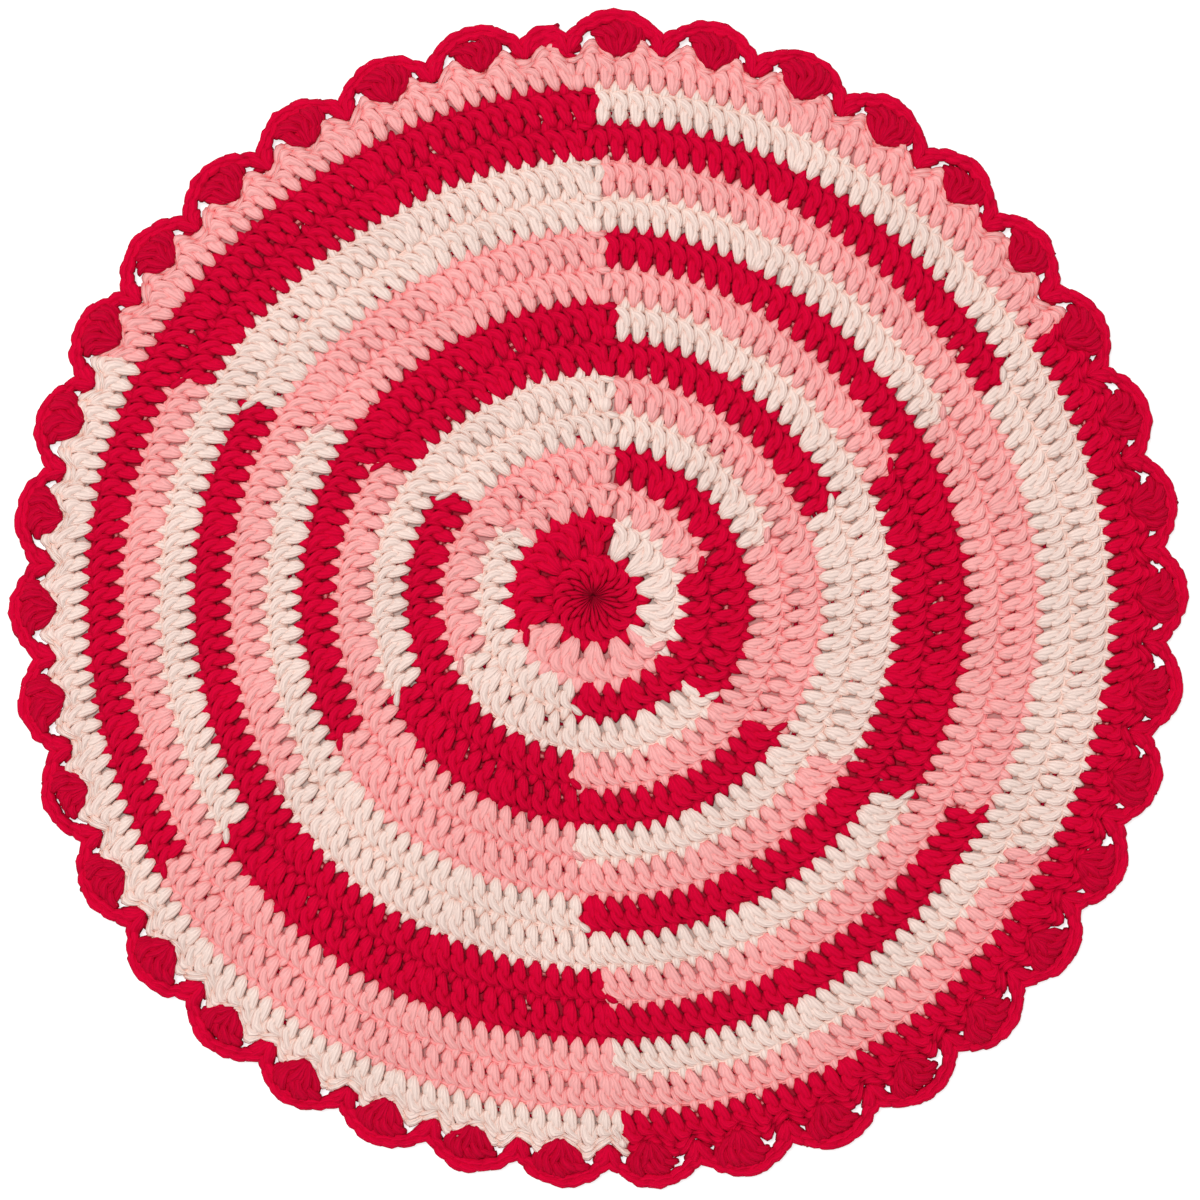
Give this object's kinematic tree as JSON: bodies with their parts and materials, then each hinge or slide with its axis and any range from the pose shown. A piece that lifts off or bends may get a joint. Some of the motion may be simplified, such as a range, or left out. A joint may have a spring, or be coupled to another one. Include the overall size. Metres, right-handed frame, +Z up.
{
  "type": "crochet placemat",
  "caption": "Round flat crochet placemat in double crochet rounds, with three yarn colours in swirling broken rings and a red scallop edging of bobbles and chain arches.",
  "frame": {"origin": "on the surface the mat lies on, under the middle of its outline", "axes": "+Z up out of the right side of the fabric; +Y towards the joining seam at 12 o'clock; +X to the right as seen from above"},
  "size_m": [0.3797, 0.3799, 0.0052],
  "materials": {
    "red_cotton": "matte",
    "pink_cotton": "matte",
    "cream_cotton": "matte"
  },
  "bodies": {
    "root": {"placemat": "red_cotton"}
  },
  "joints": []
}
